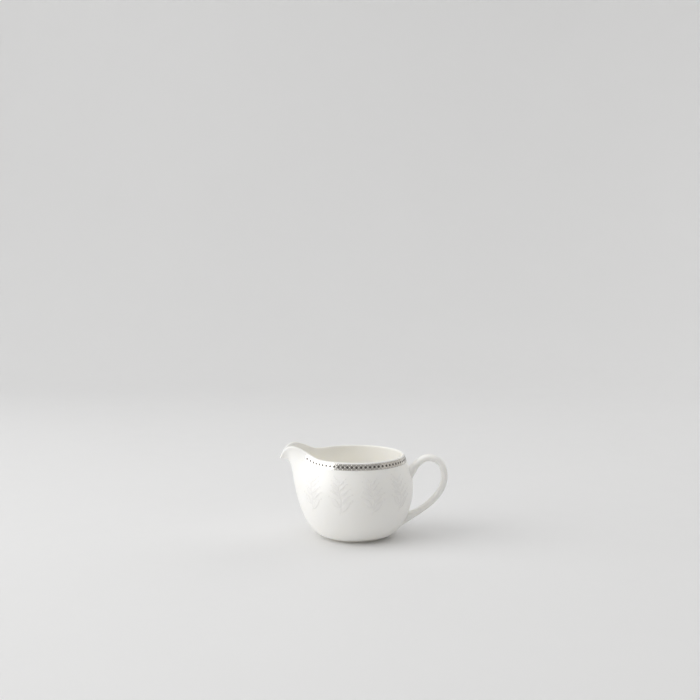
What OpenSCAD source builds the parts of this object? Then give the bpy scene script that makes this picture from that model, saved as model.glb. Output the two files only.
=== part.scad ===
// Porcelain cream jug: a round-bellied bowl with a pulled pouring lip, a loop handle luted on
// with slip, a turned foot ring, a platinum band with lozenges and raised enamel sprays.
// Frame: +Z up, origin at the centre of the foot ring's resting face. The lip points to -X
// and the handle to +X. Millimetres and degrees.
// Places on the outside are given by an angle round the jug, 0 at the lip and 180 at the
// handle, and by a station up the wall: 0 at the base, 1 at the belly and 2 under the rim.

/* [Body] */
// Radius where the wall leaves the base
base_r = 27; // [24:0.5:30]
// Radius at the belly
belly_r = 44.7; // [42:0.1:48]
// Height of the belly
belly_z = 37.5; // [34:0.5:41]
// Radius of the rim
rim_r = 37.7; // [36:0.1:40]
// Height of the rim away from the lip
rim_z = 64.4; // [61:0.2:68]
// Wall thickness
wall = 2.3; // [2:0.1:3]
// Thickness of the rounded rim
rim_t = 1.8; // [1.4:0.1:2]

/* [Pouring lip] */
// How far the throat stands out of the round body
throat_out = 12.8; // [8:0.2:15]
// How far the tip flicks out beyond the throat
tip_out = 7.1; // [4:0.1:9]
// Half-width of the lip, as an angle
lip_spread = 16.2; // [15:0.1:20]
// Half-width of the bulge at the lip's root, as an angle
root_spread = 36; // [30:1:40]
// How far the lip's shoulders rise over the rim
lip_rise = 11; // [8:0.2:14]
// Half-width of that rise, as an angle
rise_spread = 21; // [19:0.1:25]
// How far the tip dips between the shoulders
tip_droop = 14.4; // [10:0.2:17]
// Half-width of that dip, as an angle
droop_spread = 7.2; // [6.5:0.1:10]
// Height at which the bulge starts
lip_start_z = 14; // [12:1:20]

/* [Foot ring] */
// Outer radius of the foot ring's resting face
foot_r = 23.6; // [22.5:0.1:26]
// Width of the foot ring
foot_w = 2.8; // [2.2:0.1:3.5]
// Height of the foot ring
foot_h = 1.8; // [1.4:0.1:2.6]

/* [Handle] */
// Height of the loop's top, at the middle of the handle
loop_top_z = 60.9; // [58:0.1:63]
// Distance of the loop's top from the axis
loop_top_x = 56.2; // [54:0.1:58]
// Reach of the loop from the axis
loop_reach = 69; // [66:0.5:72]
// Height of the loop's outermost point
loop_reach_z = 46; // [43:0.5:48]
// Thickness of the handle at its upper end
handle_t_top = 5.3; // [4.6:0.1:6]
// Thickness of the handle at its lower end
handle_t_low = 4.9; // [4.2:0.1:5.6]
// Width of the handle at its upper end
handle_w_top = 9.2; // [8:0.1:10]
// Width of the handle at its lower end
handle_w_low = 7.6; // [7:0.1:9]
// How far the slip fillets stand out round the handle's ends
slip_out = 2.4; // [1.5:0.1:3]

/* [Band] */
// Angle from the lip at which the platinum band ends
band_end = 22; // [20:1:26]
// Station of the band's lower edge
band_low = 1.82; // [1.78:0.005:1.85]
// Station of the band's upper edge
band_high = 1.98; // [1.95:0.005:1.985]
// Height of each edge line, as a share of the upper wall
line_span = 0.013; // [0.008:0.001:0.015]
// Number of lozenges in the band
lozenge_count = 62; // [50:1:70]
// Half-width of a lozenge
lozenge_x = 1.05; // [0.8:0.05:1.2]
// Half-height of a lozenge
lozenge_z = 1; // [0.8:0.05:1.2]
// Radius of the bright beads between and under the lozenges
bead_r = 0.4; // [0.3:0.05:0.45]

/* [Raised enamel] */
// Angle from the lip to the middle of the first spray
spray_first = 42; // [40:1:48]
// Angle between sprays
spray_pitch = 32; // [30:1:34]
// Station of the middle of a spray
spray_station = 1.13; // [1.05:0.01:1.2]
// Height of a spray
spray_h = 21; // [18:1:23]
// Sideways sway of a spray's stem
stem_sway = 1.2; // [0.5:0.1:1.5]
// Length of the lowest leaf
leaf_l = 9.2; // [6:0.1:9.4]
// Leaves to a spray
leaf_count = 10; // [6:1:10]

/* [Hidden] */
SPRAYS = 8;

china = "#f4f2ec";
bisque = "#e6e1d6";
platinum = "#a9a49c";
dark_platinum = "#625e59";

step = 0.002;          // half of the steps used to measure slopes, in stations and in degrees
angle_step = 0.1;
rim_top_z = rim_z - rim_t / 2;
lip_columns = 16;      // columns across the lip, between the band's two ends
round_columns = 79;    // columns round the rest of the jug
handle_sides = 16;
handle_rings = 48;
handle_start = 0.02;   // runs at which the handle starts and ends, inside the wall
handle_end = 2.98;
slip_rings = 10;
slip_edge = 0.15;      // thickness of a slip fillet where it runs out on the handle
squareness = 2.4;      // power of the handle's rounded section, where 2 is an ellipse
band_t = 0.12;         // thickness of the platinum film, drawn thicker than life
line_t = 0.2;
lozenge_t = 0.2;
enamel_t = 0.35;
enamel_sink = 0.1;     // how far the enamel is sunk in the glaze
lozenge_lift = 0.06;   // height at which a lozenge's underside lies in the film
bead_drop = 1.65;      // from the middle of the band to the lower beads
stem_rings = 14;
stem_w = 0.8;
leaf_gap = 0.75;       // from the middle of the stem to the start of a leaf
berry_r = 0.6;

// Control points of the wall's outline, as radius and height: base to belly, belly to rim.
lower_wall = [[base_r, foot_h], [base_r + 7.4, foot_h + 1.4],
              [belly_r, belly_z - 17.5], [belly_r, belly_z]];
upper_wall = [[belly_r, belly_z], [belly_r, belly_z + 10],
              [rim_r + 2.8, rim_top_z - 8.9], [rim_r, rim_top_z]];

// Control points of the handle's middle line: root to top, top to reach, reach to root.
loop = [[[40, 44.6], [44.7, 53], [loop_top_x - 6.2, loop_top_z], [loop_top_x, loop_top_z]],
        [[loop_top_x, loop_top_z], [loop_top_x + 7.8, loop_top_z], [loop_reach, loop_reach_z + 9.3],
         [loop_reach, loop_reach_z]],
        [[loop_reach, loop_reach_z], [loop_reach, loop_reach_z - 12.4], [55.5, 19.4], [32.5, 10.8]]];

// A cubic curve through its first and last control points.
function bezier(p, t) =
    pow(1 - t, 3) * p[0] + 3 * pow(1 - t, 2) * t * p[1] + 3 * (1 - t) * t * t * p[2] + pow(t, 3) * p[3];
function unit(v) = v / norm(v);
function smooth(t) = let (k = max(0, min(1, t))) k * k * (3 - 2 * k);
function bell(angle, spread) = exp(-pow(angle / spread, 2));
function signed(angle) = angle > 180 ? angle - 360 : angle;

// The outside of the wall: a turned outline that swells, rises and dips near the lip.
function outline(station) = station < 1 ? bezier(lower_wall, station) : bezier(upper_wall, station - 1);
function climb(station) = max(0, (outline(station)[1] - lip_start_z) / (rim_top_z - lip_start_z));
function outside(angle, station) =
    let (a = signed(angle), p = outline(station), h = climb(station),
         spread = lip_spread + (root_spread - lip_spread) * (1 - h),
         throat = throat_out * pow(h, 2.3) * bell(a, spread),
         tip = tip_out * pow(h, 7) * bell(a, lip_spread),
         rise = lip_rise * pow(h, 3) * bell(a, rise_spread),
         dip = tip_droop * pow(h, 7) * bell(a, droop_spread),
         r = p[0] + throat + tip, z = p[1] + rise - dip)
    [-r * cos(a), -r * sin(a), z];
function up_wall(angle, station) = unit(outside(angle, station + step) - outside(angle, station - step));
function round_wall(angle, station) =
    unit(outside(angle + angle_step, station) - outside(angle - angle_step, station));
function outward(angle, station) = unit(cross(round_wall(angle, station), up_wall(angle, station)));
function lifted(angle, station, lift) = outside(angle, station) + lift * outward(angle, station);

// The inside of the wall, which thins towards the rim.
function thickness(station) = wall + (rim_t - wall) * smooth((climb(station) - 0.75) / 0.25);
function inside(angle, station) = lifted(angle, station, -thickness(station));
// The rounded rim: turn 0 is on the outside, 90 on top and 180 on the inside.
function rim(angle, turn) =
    lifted(angle, 2, -rim_t / 2 * (1 - cos(turn))) + rim_t / 2 * sin(turn) * up_wall(angle, 2);

// A closed surface through rings of points, with a point at each end.
module loft(rings, start, finish) {
    k = len(rings[0]);
    n = len(rings);
    points = concat([start], [for (r = rings) each r], [finish]);
    faces = concat(
        [for (j = [0:k - 1]) [0, 1 + j, 1 + (j + 1) % k]],
        [for (i = [0:n - 2], j = [0:k - 1], half = [0, 1])
            let (a = 1 + i * k + j, b = 1 + i * k + (j + 1) % k)
            half == 0 ? [a, a + k, b] : [b, a + k, b + k]],
        [for (j = [0:k - 1]) [1 + n * k, 1 + (n - 1) * k + (j + 1) % k, 1 + (n - 1) * k + j]]);
    polyhedron(points = points, faces = faces);
}

// The angles of the columns and the stations of the rows that the wall and the band share.
round_step = (360 - 2 * band_end) / round_columns;
angles = concat([for (i = [0:lip_columns - 1]) band_end * (2 * i / lip_columns - 1)],
                [for (i = [0:round_columns - 1]) band_end + i * round_step]);
band_angles = [for (i = [0:round_columns]) band_end + i * round_step];
band_rows = [for (i = [0:3]) band_low + i * (band_high - band_low) / 3];
lower_line_rows = [band_low - line_span, band_low];
upper_line_rows = [band_high, band_high + line_span];
wall_rows = concat([for (i = [0:11]) i / 12], [for (i = [0:6]) 1 + i * (band_low - line_span - 1) / 7],
                   [band_low - line_span], band_rows, [band_high + line_span]);
inner_rows = [for (i = [0:19]) 2 - i / 10];

module envelope() {
    loft([for (s = concat(wall_rows, [2])) [for (a = angles) outside(a, s)]],
         [0, 0, foot_h], [0, 0, rim_top_z]);
}

module body() color(china) {
    loft(concat([for (s = wall_rows) [for (a = angles) outside(a, s)]],
                [for (turn = [0:30:150]) [for (a = angles) rim(a, turn)]],
                [for (s = inner_rows) [for (a = angles) inside(a, s)]],
                [[for (a = angles) inside(a, 0)]]),
         [0, 0, foot_h], [0, 0, inside(90, 0)[2]]);
}

module foot_ring() color(bisque) rotate_extrude($fn = 120) polygon([
    [foot_r - foot_w + 0.5, 0], [foot_r - 0.4, 0], [foot_r, 0.4], [foot_r + 0.5, foot_h],
    [foot_r - foot_w, foot_h], [foot_r - foot_w, 0.5]]);

// The handle's middle line in the XZ plane, for run from 0 at the upper root to 3 at the lower.
function middle(run) = let (i = min(2, floor(run))) bezier(loop[i], run - i);
function along(run) = unit(middle(run + step) - middle(run - step));
// A rounded section across the line, grown by extra all round.
function section(run, extra) =
    let (p = middle(run), t = along(run), k = smooth(run / 3), power = 2 / squareness,
         half_t = (handle_t_top + (handle_t_low - handle_t_top) * k) / 2 + extra,
         half_w = (handle_w_top + (handle_w_low - handle_w_top) * k) / 2 + extra)
    [for (j = [0:handle_sides - 1])
        let (c = cos(j * 360 / handle_sides), s = sin(j * 360 / handle_sides),
             across = half_t * sign(c) * pow(abs(c), power), side = half_w * sign(s) * pow(abs(s), power))
        [p[0] - t[1] * across, -side, p[1] + t[0] * across]];
function in_space(p) = [p[0], 0, p[1]];

module handle_bar(first, last) {
    runs = [for (i = [0:handle_rings]) first + i * (last - first) / handle_rings];
    loft([for (r = runs) section(r, 0)], in_space(middle(first)), in_space(middle(last)));
}

module handle() color(china) difference() {
    handle_bar(handle_start, handle_end);
    envelope();
}

// A fillet of slip round the handle between two runs, with its full width at run "root".
module slip(first, last, root) color(china) difference() {
    runs = [for (i = [0:slip_rings]) first + i * (last - first) / slip_rings];
    loft([for (r = runs) section(r, slip_edge + slip_out * pow(1 - abs(r - root) / (last - first), 2))],
         in_space(middle(first)), in_space(middle(last)));
    handle_bar(handle_start, handle_end);
    envelope();
}
module upper_slip() slip(0.1, 0.72, 0.1);
module lower_slip() slip(2.62, 2.96, 2.96);

// A film on the wall between the given rows, as thick as lift.
module film(rows, lift) {
    top = len(rows) - 1;
    rings = [for (a = band_angles)
        concat([for (s = rows) outside(a, s)], [for (i = [0:top]) lifted(a, rows[top - i], lift)])];
    mid = (rows[0] + rows[top]) / 2;
    loft(rings, lifted(band_angles[0], mid, lift / 2), lifted(band_angles[round_columns], mid, lift / 2));
}
module platinum_band() color(platinum) film(band_rows, band_t);
module lower_line() color(platinum) film(lower_line_rows, line_t);
module upper_line() color(platinum) film(upper_line_rows, line_t);

function mean(list) = [for (v = list) 1] * list / len(list);
function backwards(list) = [for (i = [len(list) - 1:-1:0]) list[i]];
// Twice the area of an outline, which is positive when it turns anticlockwise.
function turn_sign(q) = [for (i = [0:len(q) - 1]) cross(q[i], q[(i + 1) % len(q)])] * [for (p = q) 1];

// Millimetres on the wall to one degree round it, and to one station up it.
function wide(angle, station) = norm(outside(angle + 0.5, station) - outside(angle - 0.5, station));
function tall(angle, station) =
    norm(outside(angle, station + step) - outside(angle, station - step)) / (2 * step);

// A low pad on the wall: outline points in millimetres round a place on the wall.
module pad(angle, station, outline_points, floor_lift, rise) {
    turned = turn_sign(outline_points) > 0 ? outline_points : backwards(outline_points);
    edge = [for (q = turned) [angle + q[0] / wide(angle, station), station + q[1] / tall(angle, station)]];
    centre = mean(edge);
    loft([for (lift = [floor_lift, floor_lift + rise / 2]) [for (q = edge) lifted(q[0], q[1], lift)]],
         lifted(centre[0], centre[1], floor_lift), lifted(centre[0], centre[1], floor_lift + rise));
}

// The outline of a lozenge with these half-sizes, at a height above the middle of the band.
function lozenge(x, z, up = 0) = [[x, up], [0, up + z], [-x, up], [0, up - z]];
// Places round the band, counted in lozenges from its first end.
function band_angle(i) = band_end + i * (360 - 2 * band_end) / lozenge_count;
band_mid = (band_low + band_high) / 2;

module lozenges() color(dark_platinum)
    for (i = [0:lozenge_count - 1])
        pad(band_angle(i + 0.5), band_mid, lozenge(lozenge_x, lozenge_z), lozenge_lift, lozenge_t);

// Bright beads: one between each pair of lozenges and one under each lozenge.
module beads() color(platinum)
    for (i = [0:lozenge_count - 1]) {
        if (i > 0) pad(band_angle(i), band_mid, lozenge(bead_r, bead_r), lozenge_lift, lozenge_t);
        pad(band_angle(i + 0.5), band_mid, lozenge(bead_r, bead_r, -bead_drop), lozenge_lift, lozenge_t);
    }

// Outline of a leaf that starts at p, grows towards the given heading and is l long.
function leaf(p, heading, l) =
    [for (q = [[0.02, 0.035], [0.35, 0.14], [0.7, 0.1], [1, 0], [0.7, -0.1], [0.35, -0.14], [0.02, -0.035]])
        p + l * [q[0] * cos(heading) - q[1] * sin(heading), q[0] * sin(heading) + q[1] * cos(heading)]];
function berry(p) = [for (a = [0:60:300]) p + berry_r * [cos(a), sin(a)]];
// The spray's stem, for t from 0 at the foot to 1 at the top.
function stem(t) = [stem_sway * sin(360 * t), spray_h * (t - 0.5)];

// A thin raised stem up the wall, from its foot to its top.
module stem_bead(angle, station, flip) {
    half = stem_w / wide(angle, station) / 2;
    rings = [for (i = [0:stem_rings])
        let (p = stem(i / stem_rings), a = angle + flip * p[0] / wide(angle, station),
             s = station + p[1] / tall(angle, station))
        [lifted(a + half, s, -enamel_sink), lifted(a, s, -2 * enamel_sink),
         lifted(a - half, s, -enamel_sink), lifted(a, s, enamel_t - enamel_sink)]];
    loft(rings, mean(rings[0]), mean(rings[stem_rings]));
}

module spray(index) color(china) {
    left = index <= SPRAYS / 2;
    turn = spray_first + (left ? index - 1 : SPRAYS - index) * spray_pitch;
    place = left ? turn : 360 - turn;
    flip = left ? 1 : -1;
    stem_bead(place, spray_station, flip);
    for (i = [0:leaf_count - 1]) {
        t = 0.06 + 0.84 * i / (leaf_count - 1);
        side = i % 2 == 0 ? 1 : -1;
        heading = 90 - side * (62 - 24 * t);
        way = [cos(heading), sin(heading)];
        l = leaf_l * (1 - 0.4 * t);
        growths = [leaf(stem(t) + leaf_gap * way, heading, l),
                   berry(stem(t) + (leaf_gap + l + 2 * berry_r) * way)];
        for (q = growths)
            pad(place, spray_station, [for (v = q) [flip * v[0], v[1]]], -enamel_sink, enamel_t);
    }
}

body();
foot_ring();
handle();
upper_slip();
lower_slip();
platinum_band();
lower_line();
upper_line();
lozenges();
beads();
for (i = [1:SPRAYS]) spray(i);
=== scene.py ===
"""The looks of a porcelain cream jug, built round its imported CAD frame.

Everything is in metres in the CAD model's frame: +Z up, the origin at the centre of the foot
ring's resting face, the pouring lip towards -X and the handle towards +X.

Places on the bowl's wall are given by an angle in degrees round the jug, 0 at the lip and 180 at
the handle, and by a station up the wall, 0 at the base, 1 at the belly and 2 under the rim.
"""

import logging
import math
from collections.abc import Callable, Sequence
from dataclasses import dataclass, field
from enum import Enum
from typing import Any

import bpy
import numpy as np
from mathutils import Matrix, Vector


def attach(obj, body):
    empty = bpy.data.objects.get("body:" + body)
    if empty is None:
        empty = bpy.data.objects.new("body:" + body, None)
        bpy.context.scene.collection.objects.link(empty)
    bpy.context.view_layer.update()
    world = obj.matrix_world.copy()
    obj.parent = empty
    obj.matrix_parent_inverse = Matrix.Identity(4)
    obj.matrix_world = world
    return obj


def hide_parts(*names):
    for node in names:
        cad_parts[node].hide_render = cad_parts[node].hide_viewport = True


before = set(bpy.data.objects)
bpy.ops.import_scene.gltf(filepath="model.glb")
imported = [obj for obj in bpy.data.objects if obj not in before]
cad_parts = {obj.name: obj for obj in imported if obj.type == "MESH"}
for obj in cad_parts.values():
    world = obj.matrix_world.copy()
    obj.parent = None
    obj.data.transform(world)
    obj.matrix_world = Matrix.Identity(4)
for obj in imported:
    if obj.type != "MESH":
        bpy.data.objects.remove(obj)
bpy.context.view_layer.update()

LOG = logging.getLogger("cream_jug")
ROOT = "root"
MM = 0.001

Array = np.ndarray
Colour = tuple[float, float, float]
Socket = bpy.types.NodeSocket
Material = bpy.types.Material


class Slot(Enum):
    """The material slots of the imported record."""

    CHINA = "china"
    BISQUE = "bisque"
    PLATINUM = "platinum"
    DARK_PLATINUM = "dark_platinum"
    ENAMEL = "enamel"


class Seen(Enum):
    """The kinds of reflection that show a light."""

    BY_ALL = "all"
    BY_GLOSS = "gloss"
    BY_MATT = "matt"


class Root(Enum):
    """The two places where the handle is luted to the wall."""

    UPPER = "upper"
    LOWER = "lower"


# ---- Curves and small vector helpers ----


def bezier(points: Sequence[tuple[float, float]], t: Array) -> Array:
    """A cubic curve in a plane: each of four control points times its Bernstein weight at t, summed."""
    weights = np.stack([(1 - t) ** 3, 3 * (1 - t) ** 2 * t, 3 * (1 - t) * t**2, t**3], axis=-1)
    return weights @ np.array(points, float)


def bell(angle: Array, spread: float | Array) -> Array:
    """A bell of height 1 at angle 0: e to the power of minus (angle over spread) squared."""
    return np.exp(-((angle / spread) ** 2))


def smooth(t: Array) -> Array:
    """The step 3t^2 - 2t^3, held at 0 below t = 0 and at 1 above t = 1."""
    held = np.clip(t, 0, 1)
    return held * held * (3 - 2 * held)


def unit(vectors: Array) -> Array:
    """Vectors, along the last axis, divided by their lengths."""
    return vectors / np.linalg.norm(vectors, axis=-1, keepdims=True)


def signed_power(values: Array, power: float) -> Array:
    """Each value's size to a power, with its sign kept, which squares up a circle's cosine."""
    return np.sign(values) * np.abs(values) ** power


# ---- Shapes and pieces ----


@dataclass
class Shape:
    """Points and faces, with a place on the surface for each point where a finish needs one."""

    points: Array
    quads: Array
    triangles: Array = field(default_factory=lambda: np.zeros((0, 3), int))
    places: Array | None = None

    def volume(self) -> float:
        """A sixth of the sum of each triangle's triple product, negative when faces point inwards."""
        halves = [self.quads[:, [0, 1, 2]], self.quads[:, [0, 2, 3]], self.triangles]
        corners = self.points[np.concatenate(halves)]
        return float(np.einsum("ij,ij->", corners[:, 0], np.cross(corners[:, 1], corners[:, 2])) / 6)

    def facing_out(self) -> "Shape":
        """The same shape, with every face turned round if they pointed inwards."""
        if self.volume() >= 0:
            return self
        return Shape(self.points, self.quads[:, ::-1], self.triangles[:, ::-1], self.places)


def loft(rings: Array, places: Array | None = None) -> Shape:
    """A closed surface through rings of points, with a fan at each end to the end ring's middle.

    Args:
        rings: Points as [ring, place in the ring, xyz].
        places: Two numbers for each of those points, for finishes that follow the surface.

    Returns:
        The closed shape, facing outwards.
    """
    count, around = rings.shape[:2]
    middles = rings[[0, -1]].mean(axis=1)
    points = np.concatenate([rings.reshape(-1, 3), middles])
    first, nearby = np.arange(count * around).reshape(count, around), np.roll(np.arange(around), -1)
    quads = np.stack([first[:-1], first[:-1][:, nearby], first[1:][:, nearby], first[1:]], axis=-1)
    poles = np.array([count * around, count * around + 1])
    start = np.stack([first[0][nearby], first[0], np.full(around, poles[0])], axis=-1)
    finish = np.stack([first[-1], first[-1][nearby], np.full(around, poles[1])], axis=-1)
    if places is not None:
        places = np.concatenate([places.reshape(-1, 2), places[[0, -1]].mean(axis=1)])
    return Shape(points, quads.reshape(-1, 4), np.concatenate([start, finish]), places).facing_out()


def hoop(rings: Array) -> Shape:
    """A closed tube of rings of points that meets itself: the last ring is joined to the first."""
    count, around = rings.shape[:2]
    first = np.arange(count * around).reshape(count, around)
    onward, nearby = np.roll(first, -1, axis=0), np.roll(np.arange(around), -1)
    quads = np.stack([first, first[:, nearby], onward[:, nearby], onward], axis=-1)
    return Shape(rings.reshape(-1, 3), quads.reshape(-1, 4)).facing_out()


def turned(outline: Array, columns: int) -> Shape:
    """A closed outline of radii and heights turned round Z: x = r cos a, y = r sin a, z = height."""
    angle = np.linspace(0, 2 * np.pi, columns, endpoint=False)[:, None]
    radius, height = outline[None, :, 0], outline[None, :, 1] + 0 * angle
    return hoop(np.stack([radius * np.cos(angle), radius * np.sin(angle), height], axis=-1))


def joined(shapes: Sequence[Shape]) -> Shape:
    """Several shapes as one, each keeping its own faces.

    Args:
        shapes: The shapes, all with places or all without.

    Returns:
        One shape that holds them all.
    """
    starts = np.cumsum([0] + [len(shape.points) for shape in shapes[:-1]])
    with_places = shapes[0].places is not None
    return Shape(
        np.concatenate([shape.points for shape in shapes]),
        np.concatenate([shape.quads + start for shape, start in zip(shapes, starts)]),
        np.concatenate([shape.triangles + start for shape, start in zip(shapes, starts)]),
        np.concatenate([shape.places for shape in shapes]) if with_places else None,
    )


@dataclass(frozen=True)
class Piece:
    """A finished piece of the jug: its shape, its finish and the CAD nodes it stands for."""

    name: str
    shape: Shape
    material: Material
    slot: Slot
    nodes: tuple[str, ...] = ()

    def make(self) -> bpy.types.Object:
        """Puts the shape into a mesh at the origin and ties it to the frame.

        Returns:
            The new object.
        """
        mesh = bpy.data.meshes.new(self.name)
        faces = self.shape.quads.tolist() + self.shape.triangles.tolist()
        mesh.from_pydata(self.shape.points.tolist(), [], faces)
        mesh.polygons.foreach_set("use_smooth", np.ones(len(mesh.polygons), bool))
        if self.shape.places is not None:
            corners = np.zeros(len(mesh.loops), np.int32)
            mesh.loops.foreach_get("vertex_index", corners)
            layer = mesh.uv_layers.new(name="along_the_band")
            layer.data.foreach_set("uv", self.shape.places[corners].astype(np.float32).ravel())
        mesh.materials.append(self.material)
        mesh.update()
        piece = bpy.data.objects.new(self.name, mesh)
        bpy.context.scene.collection.objects.link(piece)
        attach(piece, ROOT)
        if self.nodes:
            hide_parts(*self.nodes)
        LOG.info("%s: %d faces", self.name, len(mesh.polygons))
        return piece


# ---- Finishes ----


class NodePad:
    """A material's node tree, with short calls for the nodes that the finishes share."""

    def __init__(self, name: str) -> None:
        """Makes an empty material with a Principled shader on its output.

        Args:
            name: The material's name.
        """
        self.material = bpy.data.materials.new(name)
        self.material.use_nodes = True
        self.tree = self.material.node_tree
        self.tree.nodes.clear()
        output = self.add("ShaderNodeOutputMaterial")
        self.shader = self.add("ShaderNodeBsdfPrincipled")
        self.link(self.shader.outputs["BSDF"], output.inputs["Surface"])

    def add(self, kind: str, **settings: Any) -> bpy.types.Node:
        """Adds a node of one of Blender's classes, with its properties set by name."""
        node = self.tree.nodes.new(kind)
        for name, value in settings.items():
            setattr(node, name, value)
        return node

    def link(self, source: Socket, target: Socket) -> None:
        """Joins an output to an input."""
        self.tree.links.new(source, target)

    def set(self, **values: Any) -> None:
        """Sets constants on the shader's own sockets, named with _ for a space."""
        for name, value in values.items():
            self.shader.inputs[name.replace("_", " ")].default_value = value

    def object_place(self) -> Socket:
        """The place on the piece, in metres, as an output."""
        return self.add("ShaderNodeTexCoord").outputs["Object"]

    def band_place(self) -> Socket:
        """The place along and across the band, in metres, as an output."""
        return self.add("ShaderNodeUVMap", uv_map="along_the_band").outputs["UV"]

    def stretched(self, place: Socket, scale: tuple[float, float, float]) -> Socket:
        """A place scaled along each axis, which stretches a pattern that reads it."""
        mapping = self.add("ShaderNodeMapping")
        mapping.inputs["Scale"].default_value = scale
        self.link(place, mapping.inputs["Vector"])
        return mapping.outputs["Vector"]

    def noise(
        self, place: Socket, scale: float, detail: float = 3.0, roughness: float = 0.5
    ) -> Socket:
        """A cloudy pattern from 0 to 1: scale repeats to a metre, and each finer layer weighs roughness."""
        node = self.add("ShaderNodeTexNoise")
        node.inputs["Scale"].default_value = scale
        node.inputs["Detail"].default_value = detail
        node.inputs["Roughness"].default_value = roughness
        self.link(place, node.inputs["Vector"])
        return node.outputs["Fac"]

    def span(
        self, value: Socket, source: tuple[float, float], target: tuple[float, float]
    ) -> Socket:
        """A value carried from the source range to the target range, and held at the target's ends."""
        node = self.add("ShaderNodeMapRange")
        self.link(value, node.inputs["Value"])
        ends = ("From Min", "From Max", "To Min", "To Max")
        for name, number in zip(ends, (*source, *target)):
            node.inputs[name].default_value = number
        return node.outputs["Result"]

    def paired(self, kind: str, one: Socket, other: Socket) -> Socket:
        """Two values brought together by one of the Math node's kinds of sum."""
        node = self.add("ShaderNodeMath", operation=kind)
        self.link(one, node.inputs[0])
        self.link(other, node.inputs[1])
        return node.outputs["Value"]

    def times(self, one: Socket, other: Socket) -> Socket:
        """The product of two values."""
        return self.paired("MULTIPLY", one, other)

    def plus(self, one: Socket, other: Socket) -> Socket:
        """The sum of two values."""
        return self.paired("ADD", one, other)

    def blend(self, share: Socket, first: Colour, second: Colour) -> Socket:
        """A colour between two colours: the first where the share is 0, and the second where it is 1."""
        node = self.add("ShaderNodeMix", data_type="RGBA")
        colours = [socket for socket in node.inputs if socket.type == "RGBA"]
        colours[0].default_value = (*first, 1.0)
        colours[1].default_value = (*second, 1.0)
        self.link(share, node.inputs[0])
        return next(socket for socket in node.outputs if socket.type == "RGBA")

    def colour(self, source: Socket) -> None:
        """Sends a colour to the shader's base colour."""
        self.link(source, self.shader.inputs["Base Color"])

    def roughness(self, source: Socket) -> None:
        """Sends a value to the shader's roughness."""
        self.link(source, self.shader.inputs["Roughness"])

    def bump(self, height: Socket, depth: float) -> None:
        """Raises the surface, in shading only, by depth metres times a pattern from 0 to 1."""
        node = self.add("ShaderNodeBump")
        node.inputs["Strength"].default_value = 1.0
        node.inputs["Distance"].default_value = depth
        self.link(height, node.inputs["Height"])
        self.link(node.outputs["Normal"], self.shader.inputs["Normal"])


@dataclass(frozen=True)
class GlazedChina:
    """Warm white bone china under a clear glaze that lies in very shallow waves."""

    name: str = "glazed_china"
    tone: Colour = (0.96, 0.95, 0.915)
    warm_tone: Colour = (0.955, 0.942, 0.905)
    ripple: float = 0.00003
    glow: float = 0.35
    glow_reach: Colour = (0.0022, 0.0021, 0.0019)
    refraction: float = 1.52
    cloud_scale: float = 38.0
    gloss_scale: float = 120.0
    wave_scale: float = 55.0
    tooth_scale: float = 420.0
    # A range that straddles about 0.27 gives hard-edged blotches in a quick, denoised render.
    gloss: tuple[float, float] = (0.285, 0.33)

    def build(self) -> Material:
        """Makes the material.

        Returns:
            A clouded white with a glossy coat, whose glaze ripples over centimetres and millimetres.
        """
        pad = NodePad(self.name)
        place = pad.object_place()
        cloud = pad.span(pad.noise(place, self.cloud_scale, 4.0), (0.35, 0.65), (0.0, 1.0))
        pad.colour(pad.blend(cloud, self.tone, self.warm_tone))
        pad.roughness(pad.span(pad.noise(place, self.gloss_scale, 3.0), (0.3, 0.7), self.gloss))
        slow, quick = pad.noise(place, self.wave_scale, 1.0), pad.noise(place, self.tooth_scale, 2.0)
        pad.bump(pad.plus(slow, pad.span(quick, (0.0, 1.0), (0.0, 0.02))), self.ripple)
        pad.set(IOR=self.refraction, Subsurface_Weight=self.glow, Subsurface_Scale=1.0)
        pad.set(Subsurface_Radius=self.glow_reach)
        pad.set(Coat_Weight=0.12, Coat_Roughness=0.06, Coat_IOR=1.5)
        return pad.material


@dataclass(frozen=True)
class WipedFoot:
    """China glazed down to the foot ring's resting face, which is wiped bare and a little worn."""

    name: str = "wiped_foot"
    tone: Colour = (0.90, 0.885, 0.85)
    bare_tone: Colour = (0.66, 0.62, 0.54)
    glaze_line: float = 0.35 * MM
    wander: float = 0.15 * MM
    grain_scale: float = 3200.0
    stain_scale: float = 700.0

    def build(self) -> Material:
        """Makes the material.

        Returns:
            Gloss above the glaze line and a fine dry grain below it, with an uneven line between.
        """
        pad = NodePad(self.name)
        place = pad.object_place()
        axes = pad.add("ShaderNodeSeparateXYZ")
        pad.link(place, axes.inputs["Vector"])
        wander = pad.span(pad.noise(place, 260.0, 3.0), (0.2, 0.8), (-self.wander, self.wander))
        height = pad.plus(axes.outputs["Z"], wander)
        bare = pad.span(height, (self.glaze_line * 0.6, self.glaze_line), (1.0, 0.0))
        grain = pad.noise(place, self.grain_scale, 4.0, 0.7)
        stain = pad.times(bare, pad.span(pad.noise(place, self.stain_scale, 5.0), (0.45, 0.75), (0.55, 1.0)))
        pad.colour(pad.blend(stain, self.tone, self.bare_tone))
        pad.roughness(pad.span(bare, (0.0, 1.0), (0.1, 0.72)))
        pad.bump(pad.times(bare, grain), 0.00005)
        pad.set(IOR=1.5)
        return pad.material


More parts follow.
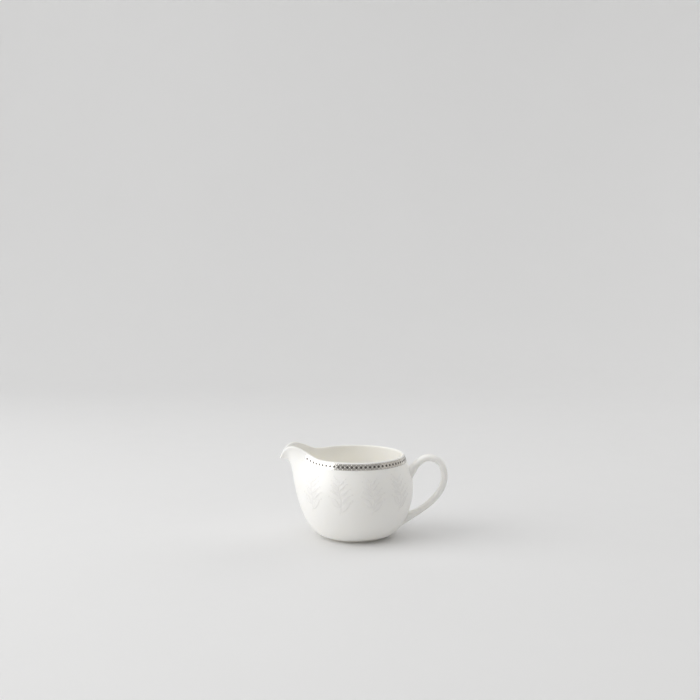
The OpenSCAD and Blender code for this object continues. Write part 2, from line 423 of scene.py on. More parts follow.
@dataclass(frozen=True)
class Lustre:
    """Fired platinum: a polished metal film with faint streaks along the brush's path."""

    name: str
    tone: Colour
    worn_tone: Colour
    gloss: tuple[float, float]
    streak: float = 0.00001
    streak_scale: tuple[float, float, float] = (90.0, 2600.0, 1.0)
    cloud_scale: tuple[float, float, float] = (160.0, 160.0, 1.0)

    def build(self) -> Material:
        """Makes the material.

        Returns:
            A metal whose colour, gloss and height vary in streaks that run along the band.
        """
        pad = NodePad(self.name)
        place = pad.band_place()
        streaks = pad.noise(pad.stretched(place, self.streak_scale), 1.0, 3.0, 0.6)
        clouds = pad.noise(pad.stretched(place, self.cloud_scale), 1.0, 3.0)
        pad.colour(pad.blend(pad.span(clouds, (0.4, 0.7), (0.0, 1.0)), self.tone, self.worn_tone))
        pad.roughness(pad.span(pad.plus(streaks, clouds), (0.7, 1.3), self.gloss))
        pad.bump(streaks, self.streak)
        pad.set(Metallic=1.0)
        return pad.material


@dataclass(frozen=True)
class RaisedEnamel:
    """White enamel that stands on the glaze, a touch whiter and softer in its gloss."""

    name: str = "raised_enamel"
    tone: Colour = (0.965, 0.955, 0.93)
    thin_tone: Colour = (0.955, 0.94, 0.91)
    stroke_scale: float = 900.0
    relief: float = 0.00003
    gloss: tuple[float, float] = (0.14, 0.24)

    def build(self) -> Material:
        """Makes the material.

        Returns:
            A white with fine brush unevenness in its colour, gloss and height.
        """
        pad = NodePad(self.name)
        place = pad.object_place()
        strokes = pad.noise(place, self.stroke_scale, 3.0)
        pad.colour(pad.blend(strokes, self.tone, self.thin_tone))
        pad.roughness(pad.span(strokes, (0.3, 0.7), self.gloss))
        pad.bump(strokes, self.relief)
        pad.set(IOR=1.5)
        return pad.material


@dataclass(frozen=True)
class StudioPaper:
    """The pale matt paper that the jug stands on."""

    name: str = "studio_paper"
    tone: Colour = (0.80, 0.80, 0.80)
    shade: Colour = (0.785, 0.785, 0.785)
    tooth_scale: float = 1800.0
    tooth: float = 0.00002

    def build(self) -> Material:
        """Makes the material.

        Returns:
            A matt pale grey with a barely visible cloud and tooth.
        """
        pad = NodePad(self.name)
        place = pad.object_place()
        pad.colour(pad.blend(pad.noise(place, 6.0, 4.0), self.tone, self.shade))
        pad.roughness(pad.span(pad.noise(place, 40.0, 2.0), (0.3, 0.7), (0.55, 0.65)))
        pad.bump(pad.noise(place, self.tooth_scale, 2.0), self.tooth)
        return pad.material


# ---- The jug ----


@dataclass(frozen=True)
class Wall:
    """The bowl's wall: a turned outline that swells, rises and dips near the pouring lip."""

    base_r: float = 27.0 * MM
    belly_r: float = 44.7 * MM
    belly_z: float = 37.5 * MM
    rim_r: float = 37.7 * MM
    rim_z: float = 64.4 * MM
    foot_h: float = 1.8 * MM
    thick: float = 2.3 * MM
    rim_t: float = 1.8 * MM
    base_pull: tuple[float, float] = (7.4 * MM, 1.4 * MM)
    belly_pull: tuple[float, float] = (17.5 * MM, 10 * MM)
    rim_pull: tuple[float, float] = (2.8 * MM, 8.9 * MM)
    throat_out: float = 12.8 * MM
    tip_out: float = 7.1 * MM
    lip_rise: float = 11.0 * MM
    tip_droop: float = 14.4 * MM
    lip_start_z: float = 14.0 * MM
    lip_spread: float = 16.2
    root_spread: float = 36.0
    rise_spread: float = 21.0
    droop_spread: float = 7.2
    slope_step: float = 0.001
    slide: float = 16.0 * MM

    @property
    def rim_top_z(self) -> float:
        """The height at which the wall ends and the rounded rim starts, away from the lip."""
        return self.rim_z - self.rim_t / 2

    def outline(self, station: Array) -> Array:
        """Radius and height at each station: one cubic below the belly and one above it."""
        base, belly = (self.base_r, self.foot_h), (self.belly_r, self.belly_z)
        low = (base, (self.base_r + self.base_pull[0], self.foot_h + self.base_pull[1]),
               (self.belly_r, self.belly_z - self.belly_pull[0]), belly)
        high = (belly, (self.belly_r, self.belly_z + self.belly_pull[1]),
                (self.rim_r + self.rim_pull[0], self.rim_top_z - self.rim_pull[1]),
                (self.rim_r, self.rim_top_z))
        return np.where(station[..., None] < 1, bezier(low, station), bezier(high, station - 1))

    def climb(self, station: Array) -> Array:
        """The share of the height from the lip's start to the rim: 0 below it and 1 at the rim."""
        height = self.outline(station)[..., 1]
        return np.maximum(0, (height - self.lip_start_z) / (self.rim_top_z - self.lip_start_z))

    def outside(self, angle: Array, station: Array) -> Array:
        """The outer surface. With h the climb and each bell centred on the lip, the radius is
        the outline's + throat h^2.3 bell + tip h^7 bell, and the height is the outline's
        + rise h^3 bell - droop h^7 bell.

        Args:
            angle: Angles round the jug.
            station: Stations up the wall.

        Returns:
            Points, for angle and station broadcast together.
        """
        angle, station = np.broadcast_arrays(angle, station)
        away = (angle + 180) % 360 - 180
        plain, h = self.outline(station), self.climb(station)
        spread = self.lip_spread + (self.root_spread - self.lip_spread) * (1 - h)
        radius = plain[..., 0] + self.throat_out * h**2.3 * bell(away, spread)
        radius = radius + self.tip_out * h**7 * bell(away, self.lip_spread)
        height = plain[..., 1] + self.lip_rise * h**3 * bell(away, self.rise_spread)
        height = height - self.tip_droop * h**7 * bell(away, self.droop_spread)
        turn = np.radians(angle)
        return np.stack([-radius * np.cos(turn), -radius * np.sin(turn), height], axis=-1)

    def up(self, angle: Array, station: Array) -> Array:
        """Unit vectors up the wall, from the slope of the outer surface."""
        step = self.slope_step
        return unit(self.outside(angle, station + step) - self.outside(angle, station - step))

    def outward(self, angle: Array, station: Array) -> Array:
        """Unit normals out of the outer surface: the cross product of its two slopes."""
        step = 50 * self.slope_step
        around = self.outside(angle + step, station) - self.outside(angle - step, station)
        return unit(np.cross(around, self.up(angle, station)))

    def lifted(self, angle: Array, station: Array, lift: Array | float) -> Array:
        """Points of the outer surface, moved out along its normal by lift metres."""
        rise = np.asarray(lift)[..., None] * self.outward(angle, station)
        return self.outside(angle, station) + rise

    def inside(self, angle: Array, station: Array) -> Array:
        """The inner surface: one wall's thickness in, thinning towards the rim over its last quarter."""
        angle, station = np.broadcast_arrays(angle, station)
        thinning = smooth((self.climb(station) - 0.75) / 0.25)
        return self.lifted(angle, station, -(self.thick + (self.rim_t - self.thick) * thinning))

    def rim(self, angle: Array, turn: Array) -> Array:
        """The rounded rim: a half circle whose turn is 0 outside, 90 degrees on top and 180 inside."""
        angle, turn = np.broadcast_arrays(angle, np.radians(turn))
        end = np.full(angle.shape, 2.0)
        half = self.rim_t / 2
        inwards = self.lifted(angle, end, -half * (1 - np.cos(turn)))
        return inwards + (half * np.sin(turn))[..., None] * self.up(angle, end)

    def radius_at(self, height: Array) -> Array:
        """The plain outline's radius at each height, read between 2,000 points of the outline."""
        outline = self.outline(np.linspace(0, 2, 2000))
        return np.interp(height, outline[:, 1], outline[:, 0])

    def on_wall(self, points: Array, sink: float) -> Array:
        """Points near the wall moved level, to or from the axis, until they lie sink metres under it."""
        radius = self.radius_at(points[..., 2]) - sink
        scale = radius / np.hypot(points[..., 0], points[..., 1])
        return points * np.stack([scale, scale, np.ones_like(scale)], axis=-1)

    def landed(self, points: Array, way: Array) -> Array:
        """Points slid along a line until they reach the wall, found by halving 40 times.

        Args:
            points: Points outside the wall.
            way: The direction of the line, towards the wall.

        Returns:
            The points where they meet the surface.
        """
        near, far = np.zeros(points.shape[:-1]), np.full(points.shape[:-1], self.slide)
        for _ in range(40):
            middle = (near + far) / 2
            tried = points + middle[..., None] * way
            beyond = np.hypot(tried[..., 0], tried[..., 1]) < self.radius_at(tried[..., 2])
            near, far = np.where(beyond, near, middle), np.where(beyond, middle, far)
        return points + near[..., None] * way

    def scales(self, angle: float, station: float) -> tuple[float, float]:
        """Metres on the wall to one degree round it, and to one station up it, at a place."""
        around = self.outside(np.array([angle - 0.5, angle + 0.5]), np.full(2, station))
        step = self.slope_step
        upward = self.outside(np.full(2, angle), np.array([station - step, station + step]))
        wide = float(np.linalg.norm(around[1] - around[0]))
        return wide, float(np.linalg.norm(upward[1] - upward[0]) / (2 * step))


@dataclass
class Bowl:
    """The bowl and its pouring lip, one closed shell of china."""

    wall: Wall
    columns: int = 288
    outer_rows: int = 168
    rim_rows: int = 14
    inner_rows: int = 104
    floor_rows: int = 22
    crowding: float = 0.35

    def angles(self) -> Array:
        """Angles of the columns: 180 ((1 - c) u + c u^3), with u from -1 to 1, crowded at the lip."""
        even = np.linspace(-1, 1, self.columns, endpoint=False)
        return 180 * ((1 - self.crowding) * even + self.crowding * even**3)

    def shell(self) -> Shape:
        """The rings of the shell: under the base, up the outside, over the rim, down the inside
        and across the floor, whose rings shrink evenly to the middle.

        Returns:
            The closed shell.
        """
        angle = self.angles()[None, :]
        shrink = np.linspace(0.08, 0.94, 8)[:, None, None]
        edge = self.wall.outside(angle, np.zeros((1, 1)))
        under = edge * np.concatenate([shrink, shrink, np.ones_like(shrink)], axis=-1)
        outer = self.wall.outside(angle, np.linspace(0, 2, self.outer_rows, endpoint=False)[:, None])
        rim = self.wall.rim(angle, np.linspace(0, 180, self.rim_rows)[:, None])
        inner = self.wall.inside(angle, np.linspace(2, 0, self.inner_rows + 1)[1:, None])
        shrink = np.linspace(1, 0.04, self.floor_rows + 1)[1:, None, None]
        floor = inner[-1:] * np.concatenate([shrink, shrink, np.ones_like(shrink)], axis=-1)
        return loft(np.concatenate([under, outer, rim, inner, floor]))

    def build(self, china: Material) -> bpy.types.Object:
        """Makes the bowl's object in the glazed china."""
        return Piece("bowl", self.shell(), china, Slot.CHINA, ("body",)).make()


@dataclass
class FootRing:
    """The turned foot ring, with a small cove where it meets the base."""

    wall: Wall
    outer_r: float = 23.6 * MM
    width: float = 2.8 * MM
    corner: float = 0.45 * MM
    cove: float = 1.3 * MM
    buried: float = 0.3 * MM
    columns: int = 220

    def outline(self) -> Array:
        """The closed outline, from the inner cove round the resting face to the outer cove. The
        corners are quarter circles, and each cove is a quarter of an ellipse.

        Returns:
            Radius and height of each point.
        """
        quarter = np.linspace(0, np.pi / 2, 8)
        top, inner_r = self.wall.foot_h, self.outer_r - self.width
        coves, corners = [], []
        for radius, way in ((self.outer_r, 1), (inner_r, -1)):
            coves.append(np.stack([radius + way * self.cove * (1 - np.cos(quarter)),
                                   self.corner + (top - self.corner) * np.sin(quarter)], axis=-1))
            corners.append(np.stack([radius - way * self.corner * (1 - np.sin(quarter)),
                                     self.corner * (1 - np.cos(quarter))], axis=-1))
        (out_cove, in_cove), (out_corner, in_corner) = coves, corners
        back_z = top + self.buried
        back = np.array([[out_cove[-1, 0], back_z], [in_cove[-1, 0], back_z]])
        face = np.linspace(in_corner[0], out_corner[0], 8)[1:-1]
        return np.concatenate([in_cove[::-1], in_corner[::-1][1:], face, out_corner, out_cove[1:], back])

    def build(self, bisque: Material) -> bpy.types.Object:
        """Makes the ring's object in the finish that is bare on the resting face."""
        shape = turned(self.outline(), self.columns)
        return Piece("foot_ring", shape, bisque, Slot.BISQUE, ("foot_ring",)).make()


@dataclass
class LoopHandle:
    """The ear-shaped loop, and the fillets of slip that lute it to the wall.

    A run along the handle goes from 0 at its upper end to 3 at its lower end, both of which lie
    inside the wall.
    """

    wall: Wall
    top: tuple[float, float] = (56.2 * MM, 60.9 * MM)
    reach: tuple[float, float] = (69.0 * MM, 46.0 * MM)
    upper_root: tuple[tuple[float, float], ...] = ((40.0 * MM, 44.6 * MM), (44.7 * MM, 53.0 * MM))
    lower_root: tuple[tuple[float, float], ...] = ((55.5 * MM, 19.4 * MM), (32.5 * MM, 10.8 * MM))
    pulls: tuple[float, float, float, float] = (6.2 * MM, 7.8 * MM, 9.3 * MM, 12.4 * MM)
    thick: tuple[float, float] = (5.3 * MM, 4.9 * MM)
    wide: tuple[float, float] = (9.2 * MM, 7.6 * MM)
    squareness: float = 2.4
    first_run: float = 0.36
    last_run: float = 2.78
    sink: float = 0.9 * MM
    slip_runs: tuple[float, float] = (0.72, 2.62)
    slip_swell: float = 1.0 * MM
    slip_flare: float = 1.2 * MM
    slip_tuck: float = 0.12
    slip_sinks: tuple[float, float, float] = (0.1 * MM, 1.0 * MM, 1.4 * MM)
    sides: int = 56
    rings: int = 210

    def legs(self) -> tuple[tuple[tuple[float, float], ...], ...]:
        """Control points of the middle line, as x and z: root to top, top to reach, reach to root."""
        (top_x, top_z), (reach_x, reach_z) = self.top, self.reach
        before_top, after_top, above_reach, below_reach = self.pulls
        upper = (*self.upper_root, (top_x - before_top, top_z), self.top)
        outer = (self.top, (top_x + after_top, top_z), (reach_x, reach_z + above_reach), self.reach)
        lower = (self.reach, (reach_x, reach_z - below_reach), *self.lower_root)
        return upper, outer, lower

    def middle(self, run: Array) -> Array:
        """The middle line at each run, as x and z, from the cubic that the run falls in."""
        upper, outer, lower = (bezier(leg, run - i) for i, leg in enumerate(self.legs()))
        return np.where(run[..., None] < 1, upper, np.where(run[..., None] < 2, outer, lower))

    def along(self, run: Array) -> Array:
        """The direction of the middle line, as x and z, from its slope."""
        step = 0.001
        return unit(self.middle(run + step) - self.middle(run - step))

    def section(self, run: Array, turn: Array) -> Array:
        """The handle's skin. Round each section the point is half the thickness times
        cos^(2/n) across the line and half the width times sin^(2/n) to the side, with n the
        squareness, and both sizes ease from the upper end to the lower.

        Args:
            run: Runs along the handle.
            turn: Degrees round the section: 0 on the inside of the loop.

        Returns:
            Points, for run and turn broadcast together.
        """
        run, turn = np.broadcast_arrays(run, np.radians(turn))
        line, way, ease = self.middle(run), self.along(run), smooth(run / 3)
        half_t = (self.thick[0] + (self.thick[1] - self.thick[0]) * ease) / 2
        half_w = (self.wide[0] + (self.wide[1] - self.wide[0]) * ease) / 2
        across = half_t * signed_power(np.cos(turn), 2 / self.squareness)
        side = half_w * signed_power(np.sin(turn), 2 / self.squareness)
        return np.stack([line[..., 0] + way[..., 1] * across, side,
                         line[..., 1] - way[..., 0] * across], axis=-1)

    def turns(self) -> Array:
        """Degrees of the points round a section."""
        return np.linspace(0, 360, self.sides, endpoint=False)

    def root_ring(self, root: Root) -> tuple[Array, Array]:
        """The ring where the handle's skin enters the wall, and the direction from wall to handle."""
        run, side = (self.first_run, -1) if root is Root.UPPER else (self.last_run, 1)
        way = self.along(np.array([run]))[0] * side
        towards = np.array([way[0], 0.0, way[1]])
        ring = self.section(np.array([run]), self.turns())
        return self.wall.landed(ring, towards), -towards

    def bar(self) -> Shape:
        """The handle from wall to wall: its sections, and at each end straight lines that run
        on from the last section to a ring sunk in the wall.

        Returns:
            The closed shape.
        """
        runs = np.linspace(self.first_run, self.last_run, self.rings)[:, None]
        skin = self.section(runs, self.turns()[None, :])
        shares = np.linspace(1, 0, 14)[:-1, None, None]
        ends = []
        for root, last in ((Root.UPPER, skin[0]), (Root.LOWER, skin[-1])):
            ring, away = self.root_ring(root)
            ends.append(last + shares * (ring - self.sink * away - last))
        return loft(np.concatenate([ends[0], skin, ends[1][::-1]]))

    def slip(self, root: Root) -> Shape:
        """A sleeve that swells from the handle's skin and flares on to the wall. With s from 0
        at its start to 1 at the wall, it stands off the skin by
        swell (s^2 - tuck) + flare (1 - sqrt(1 - s^2)), so that it starts inside the handle, and
        its end is sunk in the wall.

        Args:
            root: Which end of the handle.

        Returns:
            The closed sleeve.
        """
        end = 0 if root is Root.UPPER else 1
        start, last = self.slip_runs[end], (self.first_run, self.last_run)[end]
        skin = self.section(np.linspace(start, last, 26)[:, None], self.turns()[None, :])
        ring, _ = self.root_ring(root)
        shares = 1 - (1 - np.linspace(0, 1, 22)[1:, None, None]) ** 2
        skin = np.concatenate([skin, skin[-1] + shares * (ring - skin[-1])])
        spread = unit(skin - skin.mean(axis=1, keepdims=True))
        steps = np.linalg.norm(np.diff(skin, axis=0), axis=-1)
        gone = np.concatenate([np.zeros((1, self.sides)), np.cumsum(steps, axis=0)])
        s = gone / gone[-1]
        off = self.slip_swell * (s**2 - self.slip_tuck) + self.slip_flare * (1 - np.sqrt(1 - s**2))
        face = skin + off[..., None] * spread
        edge, deep, deepest = self.slip_sinks
        face[-1] = self.wall.on_wall(face[-1], edge)
        sunk = [self.wall.on_wall(face[-1], deep), self.wall.on_wall(ring, deepest)]
        return loft(np.concatenate([face, np.stack(sunk)]))

    def build(self, china: Material) -> list[bpy.types.Object]:
        """Makes the handle's object and its two fillets', in the glazed china."""
        made = [Piece("loop_handle", self.bar(), china, Slot.CHINA, ("handle",)).make()]
        for root in Root:
            name = f"{root.value}_slip"
            made.append(Piece(name, self.slip(root), china, Slot.CHINA, (name,)).make())
        return made


@dataclass
class PlatinumBand:
    """The platinum under the rim: a film, two edge lines, dark lozenges and bright beads."""

    wall: Wall
    end: float = 22.0
    low: float = 1.82
    high: float = 1.98
    line_span: float = 0.013
    film_t: float = 0.05 * MM
    line_t: float = 0.10 * MM
    count: int = 62
    lozenge: tuple[float, float] = (1.05 * MM, 1.0 * MM)
    bead_r: float = 0.42 * MM
    bead_drop: float = 1.65 * MM
    columns: int = 420
    under: float = 0.04 * MM
    dome: float = 0.12 * MM
    round_end: float = 2.5

    @property
    def middle(self) -> float:
        """The station half-way up the band."""
        return (self.low + self.high) / 2

    def strip(self, low: float, high: float, lift: float, domed: float) -> Shape:
        """A strip of film along the wall. Each section is a closed loop: its back lies just
        under the glaze, and its face is lift sin^domed high, with rounded ends of the strip.

        Args:
            low: The station of its lower edge.
            high: The station of its upper edge.
            lift: Its height in the middle, in metres.
            domed: 1 for a half-round line, and near 0 for a flat film with soft edges.

        Returns:
            The closed strip.
        """
        share = np.linspace(0, 1, self.columns)
        angle = self.end + (360 - 2 * self.end) * share
        to_end = np.minimum(share, 1 - share) * (360 - 2 * self.end)
        narrowing = np.sqrt(1 - (1 - np.clip(to_end / self.round_end, 0.02, 1)) ** 2)
        turn = np.radians(np.linspace(0, 360, 28, endpoint=False))
        across, height = -np.cos(turn), np.sin(turn)
        face = np.where(height > 0, lift * np.abs(height) ** domed, -self.under * np.abs(height) ** 0.3)
        half = (high - low) / 2 * narrowing[:, None]
        station = (low + high) / 2 + half * across[None, :]
        rings = self.wall.lifted(angle[:, None], station, np.broadcast_to(face, station.shape))
        metres = self.wall.rim_r * np.radians(angle)[:, None] + 0 * station
        _, tall = self.wall.scales(90, self.middle)
        return loft(rings, np.stack([metres, (station - low) * tall], axis=-1))

    def button(self, angle: float, up: float, outline: Callable[[Array], Array]) -> Shape:
        """A small domed button on the band: rings that shrink from its edge as cos e while they
        rise as sin e.

        Args:
            angle: The angle of its middle.
            up: Its height above the middle of the band, in metres.
            outline: Gives the edge's points, across and up in metres, for angles in radians.

        Returns:
            The closed button.
        """
        wide, tall = self.wall.scales(angle, self.middle)
        edge = outline(np.linspace(0, 2 * np.pi, 12, endpoint=False))
        steps = np.radians([0.0, 28.0, 62.0])
        shrink = np.concatenate([[1.0], np.cos(steps)])[:, None]
        height = np.concatenate([[-self.under], self.film_t + self.dome * np.sin(steps)])[:, None]
        angles = angle + shrink * edge[None, :, 0] / wide
        stations = self.middle + (up + shrink * edge[None, :, 1]) / tall
        rings = self.wall.lifted(angles, stations, np.broadcast_to(height, angles.shape))
        metres = self.wall.rim_r * np.radians(angles)
        return loft(rings, np.stack([metres, (stations - self.low) * tall], axis=-1))

    def bead_edge(self, turn: Array) -> Array:
        """A circle of the bead's radius, as across and up, for angles in radians."""
        return self.bead_r * np.stack([np.cos(turn), np.sin(turn)], axis=-1)

    def lozenge_edge(self, turn: Array) -> Array:
        """A lozenge with softly rounded corners, |x/a|^1.25 + |y/b|^1.25 = 1, in the same way."""
        across, up = (signed_power(wave(turn), 1.6) for wave in (np.cos, np.sin))
        return np.stack([self.lozenge[0] * across, self.lozenge[1] * up], axis=-1)

    def row_angle(self, place: float) -> float:
        """The angle at a place counted in lozenges from the band's first end."""
        return self.end + place * (360 - 2 * self.end) / self.count

    def build(self, bright: Material, dark: Material, bead: Material) -> None:
        """Makes the band's pieces.

        Args:
            bright: The platinum of the film.
            dark: The platinum of the lozenges.
            bead: The platinum of the beads and the two edge lines.
        """
        film = self.strip(self.low, self.high, self.film_t, 0.25)
        Piece("platinum_film", film, bright, Slot.PLATINUM, ("platinum_band",)).make()
        below = self.strip(self.low - self.line_span, self.low, self.line_t, 1.0)
        Piece("lower_edge_line", below, bead, Slot.PLATINUM, ("lower_line",)).make()
        above = self.strip(self.high, self.high + self.line_span, self.line_t, 1.0)
        Piece("upper_edge_line", above, bead, Slot.PLATINUM, ("upper_line",)).make()
        middles = [self.row_angle(i + 0.5) for i in range(self.count)]
        lozenges = [self.button(angle, 0.0, self.lozenge_edge) for angle in middles]
        Piece("dark_lozenges", joined(lozenges), dark, Slot.DARK_PLATINUM, ("lozenges",)).make()
        spots = [(self.row_angle(i), 0.0) for i in range(1, self.count)]
        spots += [(angle, side * self.bead_drop) for angle in middles for side in (-1, 1)]
        beads = [self.button(angle, up, self.bead_edge) for angle, up in spots]
        Piece("bright_beads", joined(beads), bead, Slot.PLATINUM, ("beads",)).make()


@dataclass
class EnamelGarland:
    """Eight raised sprays round the belly: a swaying stem with leaves, and berries at their tips."""

    wall: Wall
    first: float = 42.0
    pitch: float = 32.0
    station: float = 1.13
    height: float = 21.0 * MM
    sway: float = 1.2 * MM
    leaves: int = 10
    leaf_l: float = 9.2 * MM
    leaf_w: float = 0.15
    leaf_bend: float = 0.03
    leaf_groove: float = 0.45
    leaf_places: tuple[float, float] = (0.06, 0.84)
    lean: tuple[float, float] = (62.0, 24.0)
    shorter: float = 0.4
    leaf_gap: float = 0.75 * MM
    berry_r: float = 0.6 * MM
    stem_w: float = 0.8 * MM
    lift: float = 0.16 * MM
    sink: float = 0.1 * MM
    sprays: int = 8

    def stem_line(self, t: Array) -> Array:
        """The stem, for t from foot to top: across is sway sin 2 pi t, and up is height (t - 1/2)."""
        return np.stack([self.sway * np.sin(2 * np.pi * t), self.height * (t - 0.5)], axis=-1)

    def patch(self, place: float, flip: int, flat: Array, lift: Array) -> Shape:
        """Rings drawn flat, in metres, laid on the wall round a place and closed; a flip of -1 mirrors."""
        wide, tall = self.wall.scales(place, self.station)
        angle = place + flip * flat[..., 0] / wide
        return loft(self.wall.lifted(angle, self.station + flat[..., 1] / tall, lift))

    def leaf(self, foot: Array, heading: float, length: float) -> tuple[Array, Array]:
        """A leaf: its half-width is leaf_w l sin(pi s^0.85), its midline bends by leaf_bend l sin(pi s),
        and its face is a dome with a fine groove down the middle.

        Args:
            foot: Where it starts, across and up.
            heading: Its direction in degrees.
            length: Its length.

        Returns:
            The flat points and their lifts.
        """
        s = np.linspace(0.02, 0.985, 15)[:, None]
        turn = np.radians(np.linspace(0, 360, 14, endpoint=False))[None, :]
        half = self.leaf_w * length * np.sin(np.pi * s**0.85)
        along = length * s + 0 * turn
        across = half * np.cos(turn) + self.leaf_bend * length * np.sin(np.pi * s)
        swell = np.sin(np.pi * s) ** 0.5
        groove = 1 - self.leaf_groove * bell(np.cos(turn), 0.2)
        rise = np.where(np.sin(turn) > 0, self.lift * np.sin(turn).clip(0) ** 0.7 * swell * groove,
                        -self.sink * np.abs(np.sin(turn)))
        c, w = math.cos(math.radians(heading)), math.sin(math.radians(heading))
        flat = np.stack([along * c - across * w, along * w + across * c], axis=-1)
        return foot + flat, rise

    def berry(self, middle: Array, radius: float) -> tuple[Array, Array]:
        """A berry: rings that shrink as cos e while they rise as sin e.

        Args:
            middle: Its middle, across and up.
            radius: Its radius.

        Returns:
            The flat points and their lifts.
        """
        turn = np.linspace(0, 2 * np.pi, 12, endpoint=False)[None, :]
        steps = np.radians([0, 25, 50, 75])
        shrink = np.concatenate([[1.0], np.cos(steps)])[:, None]
        rise = np.concatenate([[-self.sink], 1.1 * self.lift * np.sin(steps)])[:, None]
        flat = radius * shrink[..., None] * np.stack([np.cos(turn), np.sin(turn)], axis=-1)
        return middle + flat, np.broadcast_to(rise, flat.shape[:2])

    def stem(self) -> tuple[Array, Array]:
        """The stem as a half-round bead that tapers at both ends: its flat points and lifts."""
        t = np.linspace(0, 1, 60)[:, None]
        turn = np.radians(np.linspace(0, 360, 10, endpoint=False))[None, :]
        taper = np.sin(np.pi * np.clip(t, 0.01, 0.99)) ** 0.25
        across = self.stem_w / 2 * taper * np.cos(turn)
        flat = self.stem_line(t) + np.stack([across, 0 * across], axis=-1)
        rise = np.where(np.sin(turn) > 0, 0.8 * self.lift * np.sin(turn) * taper, self.sink * np.sin(turn))
        return flat, rise

    def spray(self, index: int) -> Shape:
        """One spray. Leaves grow from alternate sides of the stem, shorter and steeper towards
        the top, each with a berry at its tip.

        Args:
            index: The spray's number, from 1.

        Returns:
            All of its patches together.
        """
        left = index <= self.sprays // 2
        turn = self.first + (index - 1 if left else self.sprays - index) * self.pitch
        place, flip = (turn, 1) if left else (360 - turn, -1)
        drawings = [self.stem()]
        lowest, over = self.leaf_places
        for i in range(self.leaves):
            t, side = lowest + over * i / (self.leaves - 1), 1 - 2 * (i % 2)
            heading = 90 - side * (self.lean[0] - self.lean[1] * t)
            way = np.array([math.cos(math.radians(heading)), math.sin(math.radians(heading))])
            length = self.leaf_l * (1 - self.shorter * t)
            node = self.stem_line(np.array(t))
            drawings.append(self.leaf(node + self.leaf_gap * way, heading, length))
            tip = node + (self.leaf_gap + length + 2 * self.berry_r) * way
            drawings.append(self.berry(tip, self.berry_r))
        return joined([self.patch(place, flip, flat, lift) for flat, lift in drawings])

    def build(self, enamel: Material) -> None:
        """Makes the eight sprays in the raised enamel."""
        for index in range(1, self.sprays + 1):
            Piece(f"enamel_spray_{index}", self.spray(index), enamel, Slot.ENAMEL, (f"spray_{index}",)).make()


# ---- The studio ----


@dataclass(frozen=True)
class Softbox:
    """A flat soft light, placed by its direction and distance from the jug.

    The bearing is in degrees from the viewer's side round to the right, and the height is the
    angle above the level. The glow is the brightness of its face, where 1 is a sheet of white.
    """

    name: str
    bearing: float
    height: float
    distance: float
    width: float
    tall: float
    glow: float
    tint: Colour = (1.0, 1.0, 1.0)
    seen: Seen = Seen.BY_ALL

    def build(self, aim: Vector) -> bpy.types.Object:
        """Makes the light, facing the jug. Its power is pi times the glow times its area.

        Args:
            aim: The point that it faces.

        Returns:
            The light.
        """
        lamp = bpy.data.lights.new(self.name, "AREA")
        lamp.shape, lamp.size, lamp.size_y = "RECTANGLE", self.width, self.tall
        lamp.energy = math.pi * self.glow * self.width * self.tall
        lamp.color = self.tint
        bearing, height = math.radians(self.bearing), math.radians(self.height)
        level = self.distance * math.cos(height)
        away = (level * math.sin(bearing), -level * math.cos(bearing), self.distance * math.sin(height))
        light = bpy.data.objects.new(self.name, lamp)
        light.location = aim + Vector(away)
        light.rotation_euler = (-Vector(away)).to_track_quat("-Z", "Y").to_euler()
        light.visible_camera = False
        light.visible_diffuse = self.seen is not Seen.BY_GLOSS
        light.visible_transmission = self.seen is not Seen.BY_GLOSS
        light.visible_glossy = self.seen is not Seen.BY_MATT
        bpy.context.scene.collection.objects.link(light)
        return light


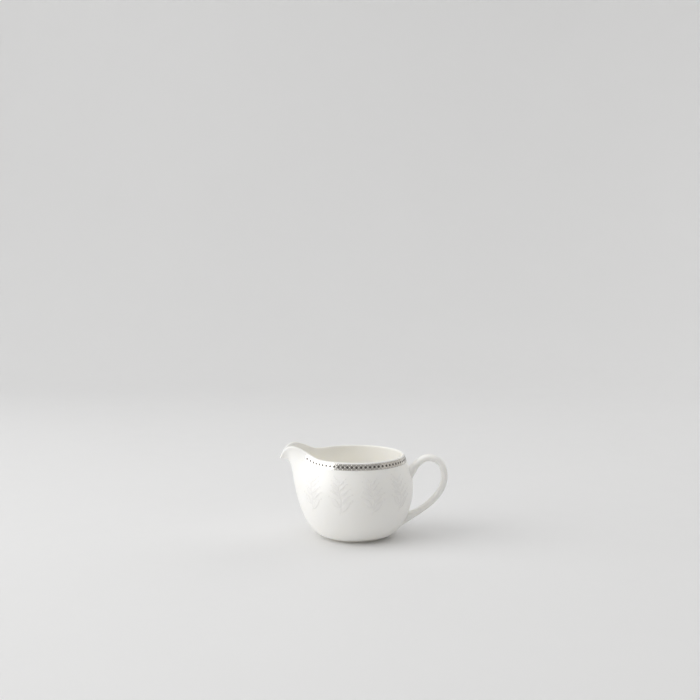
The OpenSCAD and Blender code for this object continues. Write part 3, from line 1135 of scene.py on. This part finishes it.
@dataclass
class Studio:
    """A paper sweep, five soft lights of which the window is the strongest, and the camera."""

    floor_r: float = 4.0
    floor_z: float = -0.02 * MM
    wall_y: float = 1.5
    wall_top: float = 2.6
    bend: float = 0.7
    camera_place: tuple[float, float, float] = (-4.3 * MM, -915.8 * MM, 241.0 * MM)
    camera_tilt: float = 6.0
    lens: float = 61.7
    room_glow: float = 0.25
    aim: tuple[float, float, float] = (0.0, 0.0, 0.035)
    boxes: tuple[Softbox, ...] = (
        Softbox("window", -80.0, 26.0, 1.6, 1.6, 1.6, 2.35),
        Softbox("ceiling", 0.0, 88.0, 1.2, 1.8, 1.8, 0.80),
        Softbox("front", 16.0, 30.0, 1.6, 3.6, 1.2, 0.14, (1.0, 0.975, 0.95)),
        Softbox("right_back", 130.0, 25.0, 1.8, 1.6, 1.4, 1.15, seen=Seen.BY_MATT),
        Softbox("right_card", 109.0, 14.0, 1.5, 3.0, 1.0, 0.32, (1.0, 0.95, 0.88), Seen.BY_GLOSS),
    )

    def sweep(self, paper: Material) -> None:
        """The floor, which bends up behind the jug: flat to the wall's foot, then a quarter
        circle, then straight up, with the same profile all along X.

        Args:
            paper: The paper's material.
        """
        quarter = np.radians(np.linspace(0, 90, 24))
        foot = self.wall_y - self.bend
        bend = np.stack([foot + self.bend * np.sin(quarter), self.bend * (1 - np.cos(quarter))], axis=-1)
        profile = np.concatenate([[[-self.floor_r, 0.0]], bend, [[self.wall_y, self.wall_top]]])
        profile[:, 1] += self.floor_z
        across = np.linspace(-self.floor_r, self.floor_r, 9)
        sides = np.broadcast_arrays(across[None, :], profile[:, :1], profile[:, 1:])
        points = np.stack(sides, axis=-1)
        index = np.arange(points[..., 0].size).reshape(points.shape[:2])
        quads = np.stack([index[:-1, :-1], index[:-1, 1:], index[1:, 1:], index[1:, :-1]], axis=-1)
        mesh = bpy.data.meshes.new("paper_sweep")
        mesh.from_pydata(points.reshape(-1, 3).tolist(), [], quads.reshape(-1, 4).tolist())
        mesh.polygons.foreach_set("use_smooth", np.ones(len(mesh.polygons), bool))
        mesh.materials.append(paper)
        sweep = bpy.data.objects.new("paper_sweep", mesh)
        bpy.context.scene.collection.objects.link(sweep)

    def room(self) -> None:
        """An even, dim light from all round."""
        world = bpy.data.worlds.new("room")
        world.use_nodes = True
        glow = world.node_tree.nodes["Background"]
        glow.inputs["Color"].default_value = (1.0, 0.99, 0.97, 1.0)
        glow.inputs["Strength"].default_value = self.room_glow
        bpy.context.scene.world = world

    def camera(self) -> None:
        """The camera, level across and tilted down a little."""
        lens = bpy.data.cameras.new("camera")
        lens.lens, lens.sensor_width = self.lens, 36.0
        lens.clip_start, lens.clip_end = 0.01, 50.0
        camera = bpy.data.objects.new("camera", lens)
        camera.location = self.camera_place
        camera.rotation_euler = (math.radians(90 - self.camera_tilt), 0.0, 0.0)
        bpy.context.scene.collection.objects.link(camera)
        bpy.context.scene.camera = camera

    def build(self) -> None:
        """Makes the set, its lights and the camera."""
        self.camera()
        self.sweep(StudioPaper().build())
        for box in self.boxes:
            box.build(Vector(self.aim))
        self.room()
        scene = bpy.context.scene
        scene.view_settings.view_transform = "Standard"
        scene.cycles.diffuse_bounces = 14
        scene.cycles.max_bounces = 18


def main() -> None:
    """Builds the studio and the jug."""
    logging.basicConfig(level=logging.INFO, format="%(name)s: %(message)s")
    Studio().build()
    china = GlazedChina().build()
    platinum = Lustre("platinum", (0.72, 0.70, 0.665), (0.62, 0.60, 0.565), (0.16, 0.28)).build()
    dark = Lustre("dark_platinum", (0.14, 0.13, 0.12), (0.10, 0.095, 0.09), (0.25, 0.4)).build()
    bright = Lustre("bright_platinum", (0.84, 0.82, 0.78), (0.74, 0.72, 0.68), (0.12, 0.22)).build()
    wall = Wall()
    Bowl(wall).build(china)
    FootRing(wall).build(WipedFoot().build())
    LoopHandle(wall).build(china)
    PlatinumBand(wall).build(platinum, dark, bright)
    EnamelGarland(wall).build(RaisedEnamel().build())


if __name__ == "__main__":
    main()
